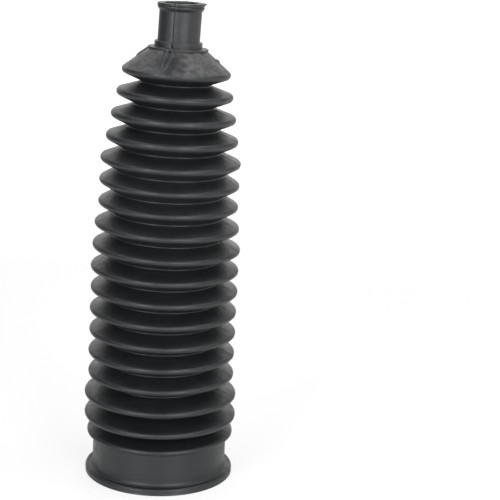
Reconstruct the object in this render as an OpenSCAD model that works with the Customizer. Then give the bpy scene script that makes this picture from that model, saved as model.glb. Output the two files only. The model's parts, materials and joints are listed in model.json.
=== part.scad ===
// Steering rack boot: a hollow moulded bellows that stands on its large end.
// From the bottom up it has a flange, a smooth collar for a wide clamp, a stack of
// convolutions that narrows towards the top, a cone and a short neck for a small clamp.

/* [Large end] */
// Bore of the large end, which is pushed over the housing
large_bore_d = 58.8; // [48:0.2:72]
// Wall of the collar
collar_wall = 2.2; // [1.6:0.1:3]
// Height of the collar, from the foot to where the lowest fold begins
collar_h = 18.1; // [14:0.1:26]
// Width of the flange beyond the collar
flange_w = 3.4; // [3:0.1:5]
// Height of the flange
flange_h = 3.3; // [2.6:0.1:4.5]
// Rounding of the flange's upper edge
flange_edge_r = 1.2; // [0.4:0.1:1.4]
// Width of the foot that leads from the flange up to the collar
foot_w = 1.5; // [0.4:0.1:1.6]

/* [Convolutions] */
// Wall of the convolutions and of the cone
wall = 1.05; // [0.8:0.05:1.4]
// Distance from one crest to the next
pitch = 10.13; // [8.5:0.01:12.5]
// Height of the lowest crest above the collar
lowest_crest_up = 2.4; // [2:0.1:4]
// Distance from the lowest crest to the second one
first_pitch = 8.7; // [7.5:0.1:12.5]
// Depth of a fold in the long middle part, from the crest to the bottom of the groove
fold_depth = 8.8; // [7:0.1:10.6]
// How much deeper the grooves beside the widest crests reach
lower_groove_drop = 0.8; // [0:0.1:2]
// Diameter at the bottom of the highest groove, under the cone's crest
top_groove_d = 32.4; // [29:0.2:38]
// Offset of the hollow's flanks from the centre of a crest's rounding
crest_hollow_r = 0.25; // [0.05:0.05:0.5]
// The same offset in the crests that taper towards the neck, which are rounder
taper_hollow_r = 0.6; // [0.05:0.05:0.8]
// Height of the flat bottom of a groove
groove_w = 0.8; // [0.6:0.1:2]
// How far the lowest crest stands out beyond the collar
lowest_rise = 2.95; // [2.4:0.05:5]
// How far the widest crests stand out beyond the collar
wide_rise = 4.15; // [2:0.05:6]
// Number of widest crests
wide_crests = 2; // [1:1:4]
// How far the crests of the long middle part stand out beyond the collar
main_rise = 2.7; // [1:0.05:5]
// Number of crests in the long middle part
main_crests = 7; // [1:1:12]
// How far the single crest above the middle part stands out beyond the collar
step_rise = 1.85; // [0.5:0.05:4]
// How far the crests above the step stand out beyond the collar
upper_rise = 0.65; // [0:0.05:3]
// Number of crests above the step
upper_crests = 3; // [1:1:6]
// Number of crests that taper towards the neck, the cone's own crest included
taper_crests = 4; // [2:1:6]

/* [Small end] */
// Bore of the neck, which grips the rod
small_bore_d = 15.6; // [11:0.2:20]
// Wall of the neck
neck_wall = 1.8; // [1.4:0.1:2.6]
// Length of the neck above the step ring, rim included
neck_l = 17; // [12:0.1:24]
// How far the rim stands out beyond the neck
rim_rise = 1.1; // [0.6:0.1:2]
// Height of the rim's upright edge
rim_h = 2; // [0.8:0.1:3]
// Height of the taper under the rim
rim_taper_h = 1.4; // [1:0.1:3]
// Width and depth of the mouth's bevel
mouth_bevel = 0.4; // [0.2:0.1:1.2]
// How far the step ring stands out beyond the neck
ring_rise = 1.25; // [0.6:0.05:2]
// Height of the step ring
ring_h = 2.7; // [1.8:0.1:4]
// How far the shoulder stands out beyond the step ring
shoulder_w = 2.9; // [1.5:0.1:4]
// Thickness of the shoulder
shoulder_h = 0.9; // [0.6:0.1:1.4]
// Diameter of the cone's crest
cone_crest_d = 49.5; // [44:0.1:58]
// Height of the cone above its crest
cone_h = 10; // [8:0.1:14]

/* [Bend] */
// How far the small end leans from the large end's axis, in degrees
bend = 2.6; // [0:0.1:10]

/* [Hidden] */
$fn = 96;
// Bevel of the flange's lower edge
flange_bevel = 0.4;
// How far the flange's top falls towards the collar's foot
flange_dip = 0.25;
// Height of the collar's foot above the flange
foot_h = 1.8;
// How far the shoulder overhangs the cone
shoulder_lip = 0.4;
// How far a flank runs on into the fold below, and a groove's bottom into the fold above
lap = 1;
// Reach of a hollow past the open ends
past = 1;
// How far a flank runs under the surface of a crest's rounding, so that the two cross cleanly
tuck = 0.01;

large_bore_r = large_bore_d / 2;
collar_r = large_bore_r + collar_wall;
flange_r = collar_r + flange_w;
small_bore_r = small_bore_d / 2;
neck_r = small_bore_r + neck_wall;
ring_r = neck_r + ring_rise;
shoulder_r = ring_r + shoulder_w;
rim_r = neck_r + rim_rise;
upper_r = collar_r + upper_rise;
groove_r = collar_r + main_rise - fold_depth;
top_groove_r = top_groove_d / 2;

// Crest radii from the bottom up
crests = concat(
    [collar_r + lowest_rise],
    [for (i = [1 : wide_crests]) collar_r + wide_rise],
    [for (i = [1 : main_crests]) collar_r + main_rise],
    [collar_r + step_rise],
    [for (i = [1 : upper_crests]) upper_r],
    [for (i = [1 : taper_crests]) upper_r + (cone_crest_d / 2 - upper_r) * i / taper_crests]
);
last = len(crests) - 1;
// Lean of each fold on the one below
joint_angle = bend / last;

// Radius of the rounding of crest i, and of the circle on which its flanks end
function crest_r(i) = wall + (i > last - taper_crests ? taper_hollow_r : crest_hollow_r);
function touch_r(i) = crest_r(i) - tuck;

// Half the distance from crest i to the crest above it
function half_gap(i) = (i == 0 ? first_pitch : pitch) / 2;

// Radius at the bottom of the groove between crest i and the crest above it. The highest grooves
// taper with the crests, and all the others but the lowest ones lie on one cylinder.
function groove_bottom(i) =
    let (tapered = max(0, i - (last - 1 - taper_crests)) / taper_crests)
    i <= wide_crests
        ? groove_r - lower_groove_drop
        : groove_r - (groove_r - top_groove_r) * tapered;

// Height of crest i above the foot, or above the middle of the groove below it
function crest_height(i) = i == 0 ? collar_h + lowest_crest_up : half_gap(i - 1);

// Height of the joint above fold i, where the fold above it begins to lean
function joint_height(i) = crest_height(i) + half_gap(i);

// Centre of the rounding of crest i
function crest_at(i) = [crests[i] - crest_r(i), crest_height(i)];

// Slope of a flank of fold i that starts at radius r, up below the crest, and ends on its rounding
function flank_angle(i, r, up) =
    let (across = crest_at(i).x - r)
    atan2(up, across) - asin(touch_r(i) / norm([across, up]));

// Slope of a flank that starts at the edge of a groove's bottom
function flank_slope(i, bottom, gap) = flank_angle(i, bottom, gap - groove_w / 2);

// The outer end of a flank, moved in by inset. side is 1 above the crest and -1 below.
function flank_end(i, slope, side, inset) =
    crest_at(i) + (touch_r(i) - inset) * [sin(slope), side * cos(slope)];

// The point on that flank that lies at radius r
function on_flank(i, slope, side, inset, r) =
    let (end = flank_end(i, slope, side, inset))
    [r, end.y + side * (end.x - r) * tan(slope)];

// Outline of the upper half of fold i. It ends in the bottom of the groove above, which runs on
// into the next fold.
function upper_points(i, inset) =
    let (
        bottom = groove_bottom(i),
        slope = flank_slope(i, bottom, half_gap(i)),
        edge = on_flank(i, slope, 1, inset, bottom - inset),
        above = 2 * joint_height(i) - edge.y + lap * tan(slope)
    )
    [flank_end(i, slope, 1, inset), edge, [edge.x, above], [0, above]];

// Outline of the lower half of fold i. Its flank runs on into the fold below.
function lower_points(i, inset) =
    let (
        bottom = groove_bottom(i - 1),
        slope = flank_slope(i, bottom, half_gap(i - 1)),
        start = on_flank(i, slope, -1, inset, bottom - inset - lap)
    )
    [[0, start.y], start, flank_end(i, slope, -1, inset)];

// Slope of the flank that leads from the collar out to the lowest crest
lowest_slope = flank_angle(0, collar_r, lowest_crest_up);

// Outline of the flange, the collar and the lowest flank
function large_end_points() = [
    [0, 0],
    [flange_r - flange_bevel, 0],
    [flange_r, flange_bevel],
    [flange_r, flange_h - flange_edge_r],
    [flange_r - flange_edge_r, flange_h - flange_edge_r],
    [flange_r - flange_edge_r, flange_h],
    [collar_r + foot_w, flange_h - flange_dip],
    [collar_r, flange_h + foot_h],
    [collar_r, collar_h],
    flank_end(0, lowest_slope, -1, 0)
];

// Outline of the bore of the large end and of the hollow under the lowest crest
function large_bore_points() = [
    [0, -past],
    [large_bore_r, -past],
    on_flank(0, lowest_slope, -1, wall, large_bore_r),
    flank_end(0, lowest_slope, -1, wall)
];

// Slope of the cone, from the crest's rounding to the shoulder
cone_slope = flank_angle(last, shoulder_r - shoulder_lip, cone_h);
shoulder_top = crest_height(last) + cone_h + shoulder_h;
ring_top = shoulder_top + ring_h;
rim_top = ring_top + neck_l;
ceiling = shoulder_top - neck_wall;

// Outline of the cone, the shoulder, the step ring, the neck and its rim
function small_end_points() = [
    flank_end(last, cone_slope, 1, 0),
    [shoulder_r - shoulder_lip, shoulder_top - shoulder_h],
    [shoulder_r, shoulder_top - shoulder_h],
    [shoulder_r, shoulder_top],
    [ring_r, shoulder_top],
    [ring_r, ring_top],
    [neck_r, ring_top],
    [neck_r, rim_top - rim_h - rim_taper_h],
    [rim_r, rim_top - rim_h],
    [rim_r, rim_top],
    [0, rim_top]
];

// Outline of the hollow of the cone and of the bore of the neck
function small_bore_points() =
    let (foot = flank_end(last, cone_slope, 1, wall))
    [
        foot,
        [foot.x - (ceiling - foot.y) / tan(cone_slope), ceiling],
        [small_bore_r, ceiling],
        [small_bore_r, rim_top - mouth_bevel],
        [small_bore_r + mouth_bevel, rim_top],
        [small_bore_r + mouth_bevel, rim_top + past],
        [0, rim_top + past]
    ];

// Section of fold i as a solid, in its own frame, with y = 0 at the foot or at the joint below it
module solid_section(i) {
    polygon(concat(
        i == 0 ? large_end_points() : lower_points(i, 0),
        [crest_at(i)],
        i == last ? small_end_points() : upper_points(i, 0)
    ));
    translate(crest_at(i)) circle(crest_r(i));
    if (i == 0) translate([flange_r, flange_h] - flange_edge_r * [1, 1]) circle(flange_edge_r);
}

// Section of the hollow in fold i
module hollow_section(i) {
    polygon(concat(
        i == 0 ? large_bore_points() : lower_points(i, wall),
        i == last ? small_bore_points() : upper_points(i, wall)
    ));
}

// The solids or the hollows of fold i and of every fold above it, each leaning a little more than
// the one below
module folds_from(i, hollow) {
    rotate_extrude() {
        if (hollow) hollow_section(i);
        else solid_section(i);
    }
    if (i < last) {
        translate([0, 0, joint_height(i)]) rotate([0, joint_angle, 0]) folds_from(i + 1, hollow);
    }
}

module boot() {
    color("#2a2c2e") difference() {
        folds_from(0, false);
        folds_from(0, true);
    }
}

boot();
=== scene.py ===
# %% [markdown]
# # A steering rack boot
#
# The boot is a hollow bellows of black thermoplastic rubber. It is moulded in one piece: a flange and a
# smooth collar at the wide end, a stack of folds that narrows towards the top, a cone, and a short neck.
# This lesson draws the wall of the boot in section, turns it round its axis into one closed mesh, raises
# the marks of the mould on it, leans it as the real one leans, and makes its rubber from procedural noise.
#
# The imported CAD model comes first. It is the fixed frame: it gives the true size and place of everything.

import json
import math

import bmesh
import bpy
import numpy as np
from mathutils import Matrix, Vector


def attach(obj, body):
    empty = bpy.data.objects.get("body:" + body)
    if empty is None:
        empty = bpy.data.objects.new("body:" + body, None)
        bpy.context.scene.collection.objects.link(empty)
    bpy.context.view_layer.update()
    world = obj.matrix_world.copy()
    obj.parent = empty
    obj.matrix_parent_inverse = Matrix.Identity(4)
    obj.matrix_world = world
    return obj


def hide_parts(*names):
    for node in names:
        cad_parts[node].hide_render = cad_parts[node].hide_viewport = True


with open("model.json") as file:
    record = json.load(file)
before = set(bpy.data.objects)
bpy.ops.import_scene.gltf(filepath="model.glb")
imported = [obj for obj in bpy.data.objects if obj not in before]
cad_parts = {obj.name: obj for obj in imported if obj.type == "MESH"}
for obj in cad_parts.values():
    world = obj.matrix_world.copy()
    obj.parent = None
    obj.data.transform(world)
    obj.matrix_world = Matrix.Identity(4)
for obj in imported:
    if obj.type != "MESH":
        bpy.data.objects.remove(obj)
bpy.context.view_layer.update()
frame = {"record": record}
mounts = {m["name"]: m for m in frame["record"]["mounts"]}
print("mounts:", sorted(mounts))

# %% [markdown]
# ## The camera
#
# The camera stands where the photograph was taken from. A long lens far away keeps the boot's sides
# nearly parallel, and a small roll gives the tilt that the boot has in the picture. The camera comes
# first, because every later choice is judged through it.

# %% Place the camera
MM = 0.001
CAMERA_AT = (40.1 * MM, -664.1 * MM, 270.3 * MM)
CAMERA_PITCH = -13.6
CAMERA_ROLL = 2.2
LENS_MM = 105.9
SENSOR_MM = 36

camera = bpy.data.objects.new("camera", bpy.data.cameras.new("camera"))
camera.data.sensor_width = SENSOR_MM
camera.data.lens = LENS_MM
turned = Matrix.Rotation(math.radians(90 + CAMERA_PITCH), 4, "X")
rolled = Matrix.Rotation(math.radians(CAMERA_ROLL), 4, "Z")
camera.matrix_world = Matrix.Translation(CAMERA_AT) @ turned @ rolled
bpy.context.scene.collection.objects.link(camera)
bpy.context.scene.camera = camera
print("camera at", [round(v, 3) for v in camera.location], "with a lens of", LENS_MM, "mm")

# %% [markdown]
# ## The sizes
#
# The bores and the lean come from the mounts of the CAD model. The other sizes are the real boot's, in
# millimetres: its wall, the spacing and depth of its folds, and the steps at its two ends. In the names,
# R is a distance from the axis, S is a height along the axis, and H is the height of one part.
#
# The folds aren't all alike. The lowest one is small, the next two are the widest, seven are even, and
# from there the bellows narrow to the cone. The lists of radii are put together from a few named rises,
# so one change reaches every fold of its kind.

# %% Name the sizes of the large end and the folds
LARGE_BORE_R = mounts["large_end"]["dims"]["r_mm"]
SMALL_BORE_R = mounts["small_end"]["dims"]["r_mm"]
lean_axis = mounts["small_end"]["axis"]
LEAN = math.degrees(math.atan2(lean_axis[0], lean_axis[2]))

WALL = 1.05
COLLAR_WALL = 2.2
COLLAR_R = LARGE_BORE_R + COLLAR_WALL
COLLAR_H = 18.5
FLANGE_WIDTH = 3.4
FLANGE_R = COLLAR_R + FLANGE_WIDTH
FLANGE_H = 3.3
FLANGE_EDGE_R = 1.2
FLANGE_BEVEL = 0.4
FOOT_R = 1.9
FOOT_SINK = 0.2

PITCH = 10.13
FIRST_PITCH = 8.7
LOWEST_CREST_UP = 2.0
LOWEST_RISE = 2.95
WIDE_RISE = 4.15
MAIN_RISE = 2.7
STEP_RISE = 1.85
UPPER_RISE = 0.65
UPPER_R = COLLAR_R + UPPER_RISE
CONE_CREST_R = 24.75
TAPER = (0.25, 0.5, 0.75, 1)
crests = [COLLAR_R + LOWEST_RISE] + [COLLAR_R + WIDE_RISE] * 2 + [COLLAR_R + MAIN_RISE] * 7
crests += [COLLAR_R + STEP_RISE] + [UPPER_R] * 3
crests += [UPPER_R + (CONE_CREST_R - UPPER_R) * t for t in TAPER]
LAST = len(crests) - 1

LOW_GROOVE_R = 24.7
MAIN_GROOVE_R = 25.5
TOP_GROOVE_R = 16.2
grooves = [LOW_GROOVE_R] * 3 + [MAIN_GROOVE_R] * 10
grooves += [MAIN_GROOVE_R + (TOP_GROOVE_R - MAIN_GROOVE_R) * t for t in TAPER]

FIRST_CREST_S = COLLAR_H + LOWEST_CREST_UP
LAST_CREST_S = FIRST_CREST_S + FIRST_PITCH + PITCH * (LAST - 1)
print(len(crests), "crests from", round(FIRST_CREST_S, 1), "to", round(LAST_CREST_S, 1), "mm up")
print("the boot leans", round(LEAN, 2), "degrees")

# %% Name the roundings of the folds
CREST_HOLLOW_R = 0.25
TAPER_HOLLOW_R = 0.6
LOWER_TIP_MORE = 0.3
GROOVE_R = 0.4
GROOVE_LAND = 0.1
tips = [WALL + CREST_HOLLOW_R] * (len(crests) - len(TAPER)) + [WALL + TAPER_HOLLOW_R] * len(TAPER)
print("the crests are rounded by", tips[0], "mm and by", tips[LAST], "mm where the bellows narrow")

# %% Name the sizes of the small end
NECK_WALL = 1.8
NECK_R = SMALL_BORE_R + NECK_WALL
NECK_H = 17.0
CONE_H = 10.0
CEILING_UNDER = 1.8
RING_RISE = 1.25
RING_R = NECK_R + RING_RISE
RING_H = 2.7
SHOULDER_WIDTH = 2.9
SHOULDER_R = RING_R + SHOULDER_WIDTH
SHOULDER_H = 0.9
SHOULDER_LIP = 0.4
RIM_RISE = 1.1
RIM_R = NECK_R + RIM_RISE
RIM_H = 2.0
RIM_TAPER_H = 1.4
LIP_H = 1.0
LIP_OUT = 0.1
LIP_GROOVE_DEPTH = 0.4
LIP_GROOVE_LOW = 0.3
LIP_GROOVE_HIGH = 0.2
MOUTH_BEVEL = 0.4

CONE_TOP_S = LAST_CREST_S + CONE_H
SHOULDER_TOP_S = CONE_TOP_S + SHOULDER_H
RING_TOP_S = SHOULDER_TOP_S + RING_H
RIM_TOP_S = RING_TOP_S + NECK_H
CEILING_S = SHOULDER_TOP_S - CEILING_UNDER
print("the cone ends", round(CONE_TOP_S, 1), "mm up and the rim", round(RIM_TOP_S, 1), "mm up")

# %% [markdown]
# ## The wall in section
#
# A lathe shape is best drawn as one outline of points: distance from the axis, and height. Each fold has
# a tight round crest, two straight flanks and a round groove, and the arcs meet the flanks at a tangent.
# The rubber was still soft when it left the mould, so the crests are a little rounder underneath.
#
# A flank needs only two points between its arcs. They lie close to its ends, so that the smooth shading
# of the arcs doesn't spread over the flat part. The inside of the wall is the same outline moved in by
# the wall's thickness, with fewer points, because nobody looks at it closely.

# %% Draw arcs and folds
FLANK_ENDS = (0.12, 0.88)
OUTSIDE = {"groove": 3, "flank": FLANK_ENDS, "tip": 5}
INSIDE = {"groove": 2, "flank": (), "tip": 1}


def arc(centre, radius, start, end, count):
    """Points on an arc from one angle to another, in degrees."""
    angles = np.radians(np.linspace(start, end, count))
    return [(centre[0] + radius * math.cos(a), centre[1] + radius * math.sin(a)) for a in angles]


def between(start, end, parts):
    """Points at the given parts of the way between two ends."""
    return [tuple(np.add(start, np.subtract(end, start) * t)) for t in parts]


def crest_s(i):
    """Height of crest i along the axis."""
    return FIRST_CREST_S if i == 0 else FIRST_CREST_S + FIRST_PITCH + PITCH * (i - 1)


def half_gap(i):
    """Half the distance from crest i to the crest above it."""
    return (FIRST_PITCH if i == 0 else PITCH) / 2


def slope_between(low, high, radii):
    """Slope in degrees of the line that is a tangent to two arcs, from the sum of their radii."""
    run, rise = high[0] - low[0], high[1] - low[1]
    return math.degrees(math.atan2(rise, run) - math.asin(radii / math.hypot(run, rise)))


def half_fold(bottom, i, tip_r, height, inset, detail):
    """Half of fold i, from the groove at height 0 up to its crest."""
    tip_at = (crests[i] - tip_r, height)
    groove_at = (bottom + GROOVE_R, GROOVE_LAND / 2)
    slope = slope_between(groove_at, tip_at, tip_r + GROOVE_R)
    groove = arc(groove_at, GROOVE_R + inset, 180, 90 + slope, detail["groove"])
    tip = arc(tip_at, tip_r - inset, 0, slope - 90, detail["tip"])[::-1]
    return groove + between(groove[-1], tip[0], detail["flank"]) + tip


def lower_half(i, inset, detail):
    """From the groove below crest i up to the crest."""
    shift = crest_s(i) - half_gap(i - 1)
    half = half_fold(grooves[i - 1], i, tips[i] + LOWER_TIP_MORE, half_gap(i - 1), inset, detail)
    return [(r, s + shift) for r, s in half]


def upper_half(i, inset, detail):
    """From just above crest i up to the groove."""
    shift = crest_s(i) + half_gap(i)
    half = half_fold(grooves[i], i, tips[i], half_gap(i), inset, detail)
    return [(r, shift - s) for r, s in reversed(half)][1:]


print("half a fold has", len(lower_half(1, 0, OUTSIDE)), "points outside")
print("and", len(lower_half(1, WALL, INSIDE)), "inside")

# %% [markdown]
# ## Sharp corners
#
# Smooth shading blends the directions of neighbouring faces, so a sharp corner turns to mush unless the
# mesh says where it ends. Each sharp corner of the real boot is drawn with four close points. Two make a
# tiny bevel, as every moulded corner has. The others, one on each side, keep the faces flat up to it.

# %% Draw sharp corners
EDGE = 0.1
BESIDE = 2.5


def bevelled(points):
    """The points, with a tiny bevel and a point on each side of it in place of each inner corner."""
    out = [points[0]]
    for before, at, after in zip(points, points[1:], points[2:]):
        for other, reach in ((before, BESIDE), (before, 1), (after, 1), (after, BESIDE)):
            towards = np.subtract(other, at)
            out.append(tuple(np.add(at, towards / np.linalg.norm(towards) * EDGE * reach)))
    return out + [points[-1]]


print("a corner takes", len(bevelled([(0, 0), (0, 1), (1, 1)])) - 2, "points")

# %% [markdown]
# ## The two ends
#
# The flange has a rounded upper edge, and a foot that curves up into the collar. The collar is plain and
# smooth, because there the boot sits tight on the housing of the steering rack. It meets the lowest fold
# in a short sloping flank.
#
# At the top, the cone meets a thin shoulder, then a step ring, then the neck that grips the tie rod. The
# neck ends in a thicker rim, with a fine groove under its lip.

# %% Draw the large end
def lowest_flank(inset):
    """The flank from the collar out to the lowest crest, as the end on its rounding and the slope."""
    tip_at = (crests[0] - tips[0], FIRST_CREST_S)
    slope = math.radians(slope_between((COLLAR_R, COLLAR_H), tip_at, tips[0]))
    reach = tips[0] - inset
    return (tip_at[0] + reach * math.sin(slope), tip_at[1] - reach * math.cos(slope)), slope


def large_end_outside():
    """From the bore's lower edge round the flange and up the collar to the lowest crest."""
    edge_at = (FLANGE_R - FLANGE_EDGE_R, FLANGE_H - FLANGE_EDGE_R)
    foot_at = (COLLAR_R + FOOT_R, FLANGE_H + FOOT_R - FOOT_SINK)
    collar_top = (COLLAR_R, COLLAR_H)
    flank_end, slope = lowest_flank(0)
    foot = arc(foot_at, FOOT_R, 270, 180, 8)
    points = bevelled([
        (LARGE_BORE_R, 0),
        (FLANGE_R - FLANGE_BEVEL, 0),
        (FLANGE_R, FLANGE_BEVEL),
        edge_at,
    ])[:-1]
    points += arc(edge_at, FLANGE_EDGE_R, 0, 90, 6)
    points += foot
    points += between(foot[-1], collar_top, np.linspace(0.1, 0.9, 6))
    points += bevelled([foot[-1], collar_top, flank_end])[1:-1]
    points += between(collar_top, flank_end, (0.25, 0.8))
    points += arc((crests[0] - tips[0], FIRST_CREST_S), tips[0], math.degrees(slope) - 90, 0, 5)
    return points


print("the large end has", len(large_end_outside()), "points")

# %% Draw the small end
def cone_slope():
    """Slope of the cone, which leaves the crest's rounding at a tangent."""
    run = crests[LAST] - tips[LAST] - (SHOULDER_R - SHOULDER_LIP)
    return slope_between((0, 0), (run, CONE_H), tips[LAST])


def small_end_outside():
    """Over the cone, the shoulder, the ring, the neck and the rim, and into the mouth."""
    tip = arc((crests[LAST] - tips[LAST], LAST_CREST_S), tips[LAST], 0, 90 - cone_slope(), 6)
    cone_top = (SHOULDER_R - SHOULDER_LIP, CONE_TOP_S)
    cone = between(tip[-1], cone_top, np.linspace(0.05, 0.97, 15))
    neck_foot = (NECK_R, RING_TOP_S)
    neck_top = (NECK_R, RIM_TOP_S - RIM_H - RIM_TAPER_H)
    lip_s = RIM_TOP_S - LIP_H
    steps = bevelled([
        cone[-1],
        cone_top,
        (SHOULDER_R, CONE_TOP_S),
        (SHOULDER_R, SHOULDER_TOP_S),
        (RING_R, SHOULDER_TOP_S),
        (RING_R, RING_TOP_S),
        neck_foot,
        neck_top,
    ])[1:-1]
    rim = bevelled([
        between(neck_foot, neck_top, (0.7,))[0],
        neck_top,
        (RIM_R - LIP_OUT, RIM_TOP_S - RIM_H),
        (RIM_R - LIP_OUT, lip_s - LIP_GROOVE_LOW),
        (RIM_R - LIP_GROOVE_DEPTH, lip_s - LIP_GROOVE_HIGH),
        (RIM_R, lip_s),
        (RIM_R, RIM_TOP_S),
        (SMALL_BORE_R + MOUTH_BEVEL, RIM_TOP_S),
        (SMALL_BORE_R, RIM_TOP_S - MOUTH_BEVEL),
        (SMALL_BORE_R, CEILING_S),
    ])
    return tip[1:] + cone + steps + between(neck_foot, neck_top, (0.2, 0.45)) + rim


def small_end_inside():
    """From the ceiling of the cone's hollow down to its crest."""
    slope = math.radians(cone_slope())
    reach = tips[LAST] - WALL
    foot_r = crests[LAST] - tips[LAST] + reach * math.sin(slope)
    foot_s = LAST_CREST_S + reach * math.cos(slope)
    return [(foot_r - (CEILING_S - foot_s) / math.tan(slope), CEILING_S), (foot_r, foot_s)]


print("the small end has", len(small_end_outside()), "points outside")
print("and its cone rises at", round(cone_slope(), 1), "degrees")

# %% Join the outline
outside = large_end_outside() + upper_half(0, 0, OUTSIDE)
for i in range(1, LAST):
    outside += lower_half(i, 0, OUTSIDE) + upper_half(i, 0, OUTSIDE)
outside += lower_half(LAST, 0, OUTSIDE) + small_end_outside()

inside = small_end_inside() + list(reversed(lower_half(LAST, WALL, INSIDE)))
for i in range(LAST - 1, 0, -1):
    inside += list(reversed(lower_half(i, WALL, INSIDE) + upper_half(i, WALL, INSIDE)))
inside += list(reversed(upper_half(0, WALL, INSIDE)))
low_end, low_slope = lowest_flank(WALL)
inside += [low_end, (LARGE_BORE_R, low_end[1] - (low_end[0] - LARGE_BORE_R) * math.tan(low_slope))]

outline = np.array(outside + inside)
r, s = outline[:, 0][:, None], outline[:, 1][:, None]
is_outside = (np.arange(len(outline)) < len(outside))[:, None]
print("the outline has", len(outside), "points outside and", len(inside), "inside")

# %% [markdown]
# ## The columns
#
# Turning the outline gives a grid of vertices, with one column for each angle round the axis. Blender's
# Screw modifier turns an outline too, but only with even columns. Here they crowd together where the
# mould has left thin raised lines, so that those lines can be real geometry: the ones in front carry the
# neck's line and the cone's ribs, and the ones on the left a strip of flash. Angles are measured from the
# camera's side, and positive to its right.

# %% Choose the columns
COLUMN_STEP = 2.8
NECK_LINE = -10.5
FOLD_LINE = 80.0
TORN_AT = -86.0
FINE_FROM, FINE_TO, FINE_STEP = -21.75, -3.5, 0.75
LINE_COLUMNS = (-1.0, -0.5, -0.25, 0.0, 0.25, 0.5, 1.0)
BACK_COLUMNS = (-6, -4, -2, 0, 2, 4, 6)
TORN_COLUMNS = (-4, -2.5, -1.2, 0, 1.2, 2.5, 4)


def near(angle, offsets):
    """Angles close to one angle, kept between -180 and 180."""
    return {round((angle + o + 180) % 360 - 180, 3) for o in offsets}


chosen = near(0, np.arange(-180, 180, COLUMN_STEP))
chosen |= near(0, np.arange(FINE_FROM, FINE_TO, FINE_STEP))
chosen |= near(NECK_LINE + 180, BACK_COLUMNS)
chosen |= near(TORN_AT, TORN_COLUMNS)
chosen |= near(FOLD_LINE, LINE_COLUMNS) | near(FOLD_LINE + 180, LINE_COLUMNS)
azimuth = np.array(sorted(chosen))[None, :]
theta = np.radians(azimuth)
print(azimuth.size, "columns make", azimuth.size * len(outline) * 2, "triangles")

# %% [markdown]
# ## The marks of the mould
#
# Where the halves of the mould meet, a little rubber is squeezed out into a thin fin: the parting line.
# It shows most on the neck, as a ridge with a narrow nick beside it. The folds have a much finer one
# near the right side. The cone has two short raised ribs, a small stub where the mould was filled, and a
# strip of flash on the left. The rim kept a torn scrap of flash.
#
# Each mark is a height in millimetres, added along the outline's outward normal. A bump map would be
# quicker, but it can't change the silhouette, and the strip, the stub and the scrap all show there.

# %% Find the outward normals
tangent = np.roll(outline, -1, axis=0) - np.roll(outline, 1, axis=0)
tangent /= np.linalg.norm(tangent, axis=1)[:, None]
normal_r, normal_s = tangent[:, 1][:, None], -tangent[:, 0][:, None]


def across(angle):
    """Distance round the boot from a line at an angle, in mm, positive to the right of the line."""
    turn = (azimuth - angle + 180) % 360 - 180
    return np.radians(turn) * r


def ridge(where, angle, high, half_width, aside=0):
    """A straight ridge along the boot: full height on its line, none at its half width."""
    return where * high * np.clip(1 - np.abs(across(angle) - aside) / half_width, 0, 1)


print("from the front line to the back is", round(float(across(0).max()), 1), "mm round the flange")

# %% Raise the parting lines
on_neck = is_outside & (s > CONE_TOP_S - 0.1) & (r > SMALL_BORE_R + 1)
above_ring = on_neck & (s > RING_TOP_S + 0.2)
below_ring_top = on_neck & (s < RING_TOP_S - 0.05)
on_folds = is_outside & (s > 0.2) & (s < CONE_TOP_S - 0.5)
raised = np.zeros((len(outline), azimuth.size))
raised += ridge(on_neck, NECK_LINE, high=0.3, half_width=0.6)
raised -= ridge(above_ring, NECK_LINE, high=0.3, half_width=0.35, aside=0.85)
raised += ridge(below_ring_top, NECK_LINE, high=0.2, half_width=0.6)
raised += ridge(on_neck, NECK_LINE + 180, high=0.3, half_width=0.5)
raised += ridge(on_folds, FOLD_LINE, high=0.09, half_width=0.3)
raised += ridge(on_folds, FOLD_LINE + 180, high=0.09, half_width=0.3)
print("parting lines raise", int((raised > 0.05).sum()), "vertices")

# %% Raise the ribs, the strip, the stub and the scrap of flash
STUB_AT = 90
STUB_UP = 6
STUB_HIGH = 0.9
STUB_SPREAD = 0.8
up_cone = s - LAST_CREST_S
on_cone = is_outside & (up_cone > 1) & (s < CONE_TOP_S + 0.01)


def rib(angles, heights, half_width, high):
    """A straight rib on the cone, between two heights above the crest and two angles."""
    part = (up_cone - heights[0]) / (heights[1] - heights[0])
    angle = angles[0] + (angles[1] - angles[0]) * np.clip(part, 0, 1)
    ends = np.clip(1 + 6 * np.minimum(part, 1 - part), 0, 1)
    return ridge(on_cone * high * ends, angle, 1, half_width)


left_rib = rib(angles=(-15.5, -18.5), heights=(3.1, 9.6), half_width=0.8, high=0.8)
right_rib = rib(angles=(-10.8, -7.0), heights=(3.7, 9.7), half_width=0.8, high=0.8)
strip = rib(angles=(TORN_AT, TORN_AT), heights=(6.3, 10.2), half_width=0.9, high=0.6)
for mark in (left_rib, right_rib, strip):
    raised = np.maximum(raised, mark)
from_stub = across(STUB_AT) ** 2 + (1.4 * (up_cone - STUB_UP)) ** 2
raised += on_cone * STUB_HIGH * np.exp(-from_stub / STUB_SPREAD)
on_lip = is_outside & (s > RIM_TOP_S - 0.6) & (r > RIM_R - 0.3)
scrap = ridge(on_lip, STUB_AT, high=1.0, half_width=1.1)
print("the highest mark is", round(float(raised.max()), 2), "mm high")
print("the scrap of flash stands out", round(float(scrap.max()), 2), "mm")

# %% [markdown]
# ## Nothing rubber is quite round
#
# A soft moulding springs out of its mould a little out of true, and it sags where it stands. Each fold
# gets its own slight push to one side, its own slightly oval shape and its own slight tilt, from seeded
# random numbers. They are read off smoothly along the height, and they fade to nothing at the foot, which
# stands flat. The inside moves with the outside, so the wall keeps its thickness.
#
# The mouth is trimmed with a knife after moulding, and never quite square: its edge is skewed a little.

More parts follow.
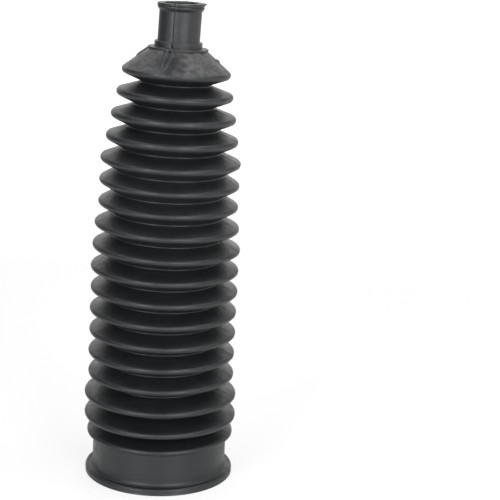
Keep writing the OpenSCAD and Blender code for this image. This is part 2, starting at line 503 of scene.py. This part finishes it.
# %% Push the folds slightly out of true
FADE_FROM = 4.0
PUSH, OVAL, RIPPLE = 0.09, 0.05, 0.03
TILT, WAVE = 0.08, 0.04
MOUTH_SKEW = 0.4
MOUTH_UP = 0.2
MOUTH_H = 1.3
random = np.random.default_rng(11)
knots = np.array([FADE_FROM] + [crest_s(i) for i in range(LAST + 1)] + [RIM_TOP_S])


def wander(size):
    """Random numbers at the crests, read off at every height of the outline."""
    values = random.normal(0, size, len(knots))
    values[0] = 0
    values[-1] = 0
    return np.interp(s, knots, values)


push = wander(PUSH) * np.sin(theta) + wander(PUSH) * np.cos(theta)
push = push + wander(OVAL) * np.sin(2 * theta) + wander(OVAL) * np.cos(2 * theta)
push = push + wander(RIPPLE) * np.sin(5 * theta) + wander(RIPPLE) * np.cos(3 * theta)
lift = wander(TILT) * np.sin(theta) + wander(TILT) * np.cos(theta) + wander(WAVE) * np.sin(3 * theta)
lift = lift + np.clip(s - (RIM_TOP_S - MOUTH_H), 0, 1) * (MOUTH_SKEW * np.sin(theta) + MOUTH_UP)
print("the folds wander by up to", round(float(np.abs(push).max()), 2), "mm")

# %% [markdown]
# ## From outline to mesh
#
# The last step turns the outline, then bends its axis into an arc between the lowest and the highest
# crest. Each point moves as a rigid slice of the boot would: its slice tilts and shifts by the lean so
# far. The rows and the columns both close on themselves, so the mesh is watertight.

# %% Turn and lean the outline
full_r = r + normal_r * raised + scrap + push
full_s = s + normal_s * raised + lift
across_x = full_r * np.sin(theta)
across_y = -full_r * np.cos(theta)

curve_length = LAST_CREST_S - FIRST_CREST_S
curvature = math.radians(LEAN) / curve_length
tilt = curvature * np.clip(full_s - FIRST_CREST_S, 0, curve_length)
beyond = np.maximum(full_s - LAST_CREST_S, 0)
centre_x = (1 - np.cos(tilt)) / curvature + beyond * np.sin(tilt)
centre_z = np.minimum(full_s, FIRST_CREST_S) + np.sin(tilt) / curvature + beyond * np.cos(tilt)
x = centre_x + across_x * np.cos(tilt)
z = centre_z - across_x * np.sin(tilt)
grid = np.stack([x, across_y, z], axis=-1) * MM
print("the grid is", grid.shape[0], "rows by", grid.shape[1], "columns")

# %% Make the mesh
rows, cols = grid.shape[:2]
row, col = np.arange(rows)[:, None], np.arange(cols)[None, :]
next_row, next_col = (row + 1) % rows, (col + 1) % cols
corners = (row * cols + col, row * cols + next_col, next_row * cols + next_col, next_row * cols + col)
faces = np.stack(np.broadcast_arrays(*corners), axis=-1)

mesh = bpy.data.meshes.new("boot_rubber")
mesh.from_pydata(grid.reshape(-1, 3).tolist(), [], faces.reshape(-1, 4).tolist())
mesh.update()
mesh.shade_smooth()
boot = bpy.data.objects.new("boot_rubber", mesh)
bpy.context.scene.collection.objects.link(boot)
print("the mesh has", len(mesh.vertices), "vertices and", len(mesh.polygons), "quads")

# %% [markdown]
# ## The rubber
#
# Three things make black rubber look like rubber and not like black paint. Its surface copies the etched
# steel of the mould, so it has a fine grain and a satin shine. The shine isn't even, because the rubber
# touched the steel more firmly in some places. And a pale speckled coat is painted where the cone faces up:
# partly dust, and partly painted skylight, a painted highlight of the light from above.
#
# All three come from noise, scaled in real millimetres: a scale of 0.5 gives spots about 2 mm across. The
# index of refraction is that of thermoplastic rubber.

# %% Small helpers for colours and nodes
def linear(hex_colour):
    """A hex colour as four linear numbers."""
    parts = [int(hex_colour[k:k + 2], 16) / 255 for k in (1, 3, 5)]
    return tuple(p / 12.92 if p <= 0.04045 else ((p + 0.055) / 1.055) ** 2.4 for p in parts) + (1.0,)


def add(tree, kind, inputs=None, **settings):
    """Adds a node. Each input gets a value, or is linked to the output socket that is given for it."""
    node = tree.nodes.new(kind)
    for name, value in settings.items():
        setattr(node, name, value)
    for name, value in (inputs or {}).items():
        if isinstance(value, bpy.types.NodeSocket):
            tree.links.new(value, node.inputs[name])
        else:
            node.inputs[name].default_value = value
    return node


DEEP_BLACK = linear("#121315")
PALE_BLACK = linear("#1b1d1f")
# The pale grey is partly dust and partly painted skylight: a painted highlight where the cone faces up.
DUST_AND_SKYLIGHT_GREY = linear("#626263")
print("near black is", [round(v, 4) for v in DEEP_BLACK[:3]], "in linear light")

# %% Start the rubber
RUBBER_IOR = 1.47
rubber = bpy.data.materials.new("black thermoplastic rubber, moulded in etched steel")
rubber.use_nodes = True
tree = rubber.node_tree
shader = tree.nodes["Principled BSDF"]
shader.inputs["IOR"].default_value = RUBBER_IOR
place = add(tree, "ShaderNodeTexCoord").outputs["Object"]
in_mm = add(tree, "ShaderNodeVectorMath", {0: place, 3: 1 / MM}, operation="SCALE").outputs[0]
facing = add(tree, "ShaderNodeNewGeometry").outputs["Normal"]
up = add(tree, "ShaderNodeSeparateXYZ", {0: facing}).outputs["Z"]
height = add(tree, "ShaderNodeSeparateXYZ", {0: in_mm}).outputs["Z"]
print("the noises are scaled by", 1 / MM, "so that one unit is a millimetre")

# %% [markdown]
# ### Colour, dust and painted skylight
#
# The rubber itself hardly varies: two blacks in soft patches. The cone is the part that hands touch and
# dust settles on. A pale speckled coat lies where the surface faces up, high enough to be the cone. It is
# partly dust and partly painted skylight, a painted highlight of the light from above, and it is thin on a
# spot near the ribs.

# %% Colour: near black, with dust and painted skylight on the cone
THIN_SPOT_AT = (1.0, -17.0, 195.0)
THIN_SPOT_R, FULL_COAT_R = 3.0, 9.0
CONE_FROM, CONE_FULL = 189.0, 193.0
patches = add(tree, "ShaderNodeTexNoise", {"Vector": in_mm, "Scale": 0.09, "Detail": 3.0}).outputs[0]
speckled = {"Vector": in_mm, "Scale": 0.35, "Detail": 6.0, "Roughness": 0.7}
specks = add(tree, "ShaderNodeTexNoise", speckled).outputs[0]
# Painted light: the coat is strongest where the surface faces up, as a painted highlight of the light from
# above.
open_up = add(tree, "ShaderNodeMapRange", {0: up, 1: 0.25, 2: 0.6}).outputs[0]
high_up = add(tree, "ShaderNodeMapRange", {0: height, 1: CONE_FROM, 2: CONE_FULL}).outputs[0]
# The coat is thin on a spot near the ribs.
from_thin_spot = add(tree, "ShaderNodeVectorMath", {0: in_mm, 1: THIN_SPOT_AT}, operation="DISTANCE").outputs["Value"]
coat_outside_thin_spot = add(tree, "ShaderNodeMapRange", {0: from_thin_spot, 1: THIN_SPOT_R, 2: FULL_COAT_R, 3: 0.1}).outputs[0]
coat_specks = add(tree, "ShaderNodeMapRange", {0: specks, 1: 0.4, 2: 0.7, 3: 0.1, 4: 0.7}).outputs[0]
up_facing_cone = add(tree, "ShaderNodeMath", {0: open_up, 1: high_up}, operation="MULTIPLY").outputs[0]
coat_area = add(tree, "ShaderNodeMath", {0: up_facing_cone, 1: coat_outside_thin_spot}, operation="MULTIPLY").outputs[0]
dust_and_skylight = add(tree, "ShaderNodeMath", {0: coat_area, 1: coat_specks}, operation="MULTIPLY").outputs[0]
blacks = add(tree, "ShaderNodeMix", {0: patches, 6: DEEP_BLACK, 7: PALE_BLACK}, data_type="RGBA").outputs[2]
# The pale coat mixed in here is partly dust and partly painted skylight.
colour = add(tree, "ShaderNodeMix", {0: dust_and_skylight, 6: blacks, 7: DUST_AND_SKYLIGHT_GREY}, data_type="RGBA").outputs[2]
tree.links.new(colour, shader.inputs["Base Color"])
print("dust lies above", CONE_FROM, "mm")

# %% Shine: satin, and not even
SHINIEST, DULLEST = 0.37, 0.5
uneven = add(tree, "ShaderNodeTexNoise", {"Vector": in_mm, "Scale": 0.22, "Detail": 4.0}).outputs[0]
satin = add(tree, "ShaderNodeMapRange", {0: uneven, 1: 0.3, 2: 0.7, 3: SHINIEST, 4: DULLEST}).outputs[0]
tree.links.new(satin, shader.inputs["Roughness"])
print("the roughness goes from", SHINIEST, "to", DULLEST)

# %% [markdown]
# ### Grain
#
# The grain and the skin's slow unevenness are too fine to model. Two bump nodes in a row draw them: first
# the skin, then the grain of the etched steel on top of it. The distance of each is a height in real
# millimetres, which sets how much it breaks up the light.

# %% Grain: the etched steel, and a slower unevenness of the skin
SKIN_DEPTH = 0.16
GRAIN_DEPTH = 0.06
etched = {"Vector": in_mm, "Scale": 1.6, "Detail": 3.0, "Roughness": 0.6}
grain = add(tree, "ShaderNodeTexNoise", etched).outputs[0]
rolling = {"Vector": in_mm, "Scale": 0.5, "Detail": 4.0, "Roughness": 0.65}
skin = add(tree, "ShaderNodeTexNoise", rolling).outputs[0]
slow_bump = {"Height": skin, "Distance": SKIN_DEPTH * MM, "Strength": 1.0}
slow = add(tree, "ShaderNodeBump", slow_bump).outputs[0]
fine_bump = {"Height": grain, "Distance": GRAIN_DEPTH * MM, "Strength": 1.0, "Normal": slow}
fine = add(tree, "ShaderNodeBump", fine_bump).outputs[0]
tree.links.new(fine, shader.inputs["Normal"])
mesh.materials.append(rubber)
print("the rubber has", len(tree.nodes), "nodes")

# %% [markdown]
# ## The studio
#
# Black satin rubber shows little of its own colour. What the eye reads is the reflection of the room, so
# the lights matter more than the material. Two tall soft boxes in front draw the lines in the grooves and
# the light stripe on each crest. Two wide ones hang high at the sides, for the cone and the tops of the
# folds, and a low one on the right picks out the ends of the folds there. The wall behind glows, which
# gives the boot its pale rim. It stands on a table of opal acrylic that is lit from below. The acrylic
# spreads the light, so the foot of the boot has a soft glow under it and hardly a shadow.
#
# A photographer also puts things where the camera doesn't see them, and Blender has a switch for that on
# each object. The room is dark, so that the sides of the boot stay dark, but the camera sees a white
# backdrop instead. A grey card lies over the table at the left back, out of the camera's sight, and
# keeps the left side of the neck dark. The sizes of the studio are in metres.

# %% Fill the room with light
WALL_BEHIND = 1.6
ROOM = 0.06
WHITE = (1, 1, 1, 1)
world = bpy.data.worlds.new("studio")
bpy.context.scene.world = world
world.use_nodes = True
sky = world.node_tree
direction = add(sky, "ShaderNodeTexCoord").outputs["Generated"]
away = add(sky, "ShaderNodeSeparateXYZ", {0: direction}).outputs["Y"]
glow = add(sky, "ShaderNodeMapRange", {0: away, 1: 0.45, 2: 1.0, 3: ROOM, 4: WALL_BEHIND}).outputs[0]
sky.links.new(glow, sky.nodes["Background"].inputs["Strength"])
sky.nodes["Background"].inputs["Color"].default_value = WHITE
print("the room glows", WALL_BEHIND, "behind the boot and", ROOM, "elsewhere")

# %% Make pieces for the studio
FLOOR_REACH = 10.0
CARD_AT = (-1.7, 0.7, 0.002)
CARD_R = 1.45
BACKDROP_R = 5.0


def stage_piece(name, material_name, grey, shape):
    """A glowing piece of the studio. The shape is a function that fills a new mesh."""
    sheet = bpy.data.meshes.new(name)
    filled = bmesh.new()
    shape(filled)
    filled.to_mesh(sheet)
    filled.free()
    piece = bpy.data.objects.new(name, sheet)
    bpy.context.scene.collection.objects.link(piece)
    material = bpy.data.materials.new(material_name)
    material.use_nodes = True
    look = material.node_tree.nodes["Principled BSDF"]
    look.inputs["Base Color"].default_value = linear(grey)
    look.inputs["Roughness"].default_value = 0.7
    look.inputs["Emission Color"].default_value = WHITE
    look.inputs["Emission Strength"].default_value = 1.0
    sheet.materials.append(material)
    print(name, "has", len(sheet.polygons), "faces")
    return piece


def glow_by_distance(piece, start, end, strengths):
    """Lets a piece glow by the distance from its own middle."""
    nodes = piece.data.materials[0].node_tree
    spot = add(nodes, "ShaderNodeTexCoord").outputs["Object"]
    off = add(nodes, "ShaderNodeVectorMath", {0: spot}, operation="LENGTH").outputs["Value"]
    levels = {0: off, 1: start, 2: end, 3: strengths[0], 4: strengths[1]}
    glowing = add(nodes, "ShaderNodeMapRange", levels).outputs[0]
    nodes.links.new(glowing, nodes.nodes["Principled BSDF"].inputs["Emission Strength"])


print("the table will reach", FLOOR_REACH, "m and the backdrop", BACKDROP_R, "m from the boot")

# %% Lay the table, the card and the backdrop
def square(new):
    """Fills a mesh with the table's square."""
    bmesh.ops.create_grid(new, size=FLOOR_REACH)


def disc(new):
    """Fills a mesh with the card's disc."""
    bmesh.ops.create_circle(new, cap_ends=True, segments=64, radius=CARD_R)


def sphere(new):
    """Fills a mesh with the backdrop's sphere."""
    bmesh.ops.create_uvsphere(new, u_segments=48, v_segments=24, radius=BACKDROP_R)


table = stage_piece("table", "opal acrylic, lit from below", "#8c8c8c", square)
glow_by_distance(table, start=0.4, end=1.0, strengths=(0.7, 1.0))

card = stage_piece("card", "grey card, darkest in the middle", "#000000", disc)
card.location = CARD_AT
card.visible_camera = False
card.visible_shadow = False
glow_by_distance(card, start=0.95, end=CARD_R, strengths=(0.05, 1.0))

backdrop = stage_piece("backdrop", "white paper, evenly lit", "#000000", sphere)
backdrop.visible_diffuse = False
backdrop.visible_glossy = False
backdrop.visible_shadow = False

# %% Hang the soft boxes
AIM = Vector((0, 0, 0.11))


def soft_box(name, azimuth_deg, distance, height_m, size, radiance):
    """A soft box that faces the boot and that the camera can't see."""
    data = bpy.data.lights.new(name, "AREA")
    data.shape = "RECTANGLE"
    data.size, data.size_y = size
    data.energy = radiance * math.pi * size[0] * size[1]
    lamp = bpy.data.objects.new(name, data)
    a = math.radians(azimuth_deg)
    lamp.location = (distance * math.sin(a), -distance * math.cos(a), height_m)
    lamp.rotation_mode = "QUATERNION"
    lamp.rotation_quaternion = (AIM - lamp.location).to_track_quat("-Z", "Y")
    lamp.visible_camera = False
    bpy.context.scene.collection.objects.link(lamp)


soft_box("soft box front left", -30, 1.3, 0.48, (0.6, 0.95), 8.0)
soft_box("soft box front right", 30, 1.3, 0.48, (0.6, 0.95), 8.0)
soft_box("soft box high left", -85, 0.65, 1.24, (1.1, 0.6), 2.4)
soft_box("soft box high right", 85, 0.65, 1.24, (1.1, 0.6), 3.6)
soft_box("soft box right", 90, 1.3, 0.35, (0.8, 0.6), 1.6)
bpy.context.scene.view_settings.view_transform = "Standard"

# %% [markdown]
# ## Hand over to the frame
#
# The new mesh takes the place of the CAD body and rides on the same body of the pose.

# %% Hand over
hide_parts("boot")
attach(boot, "root")
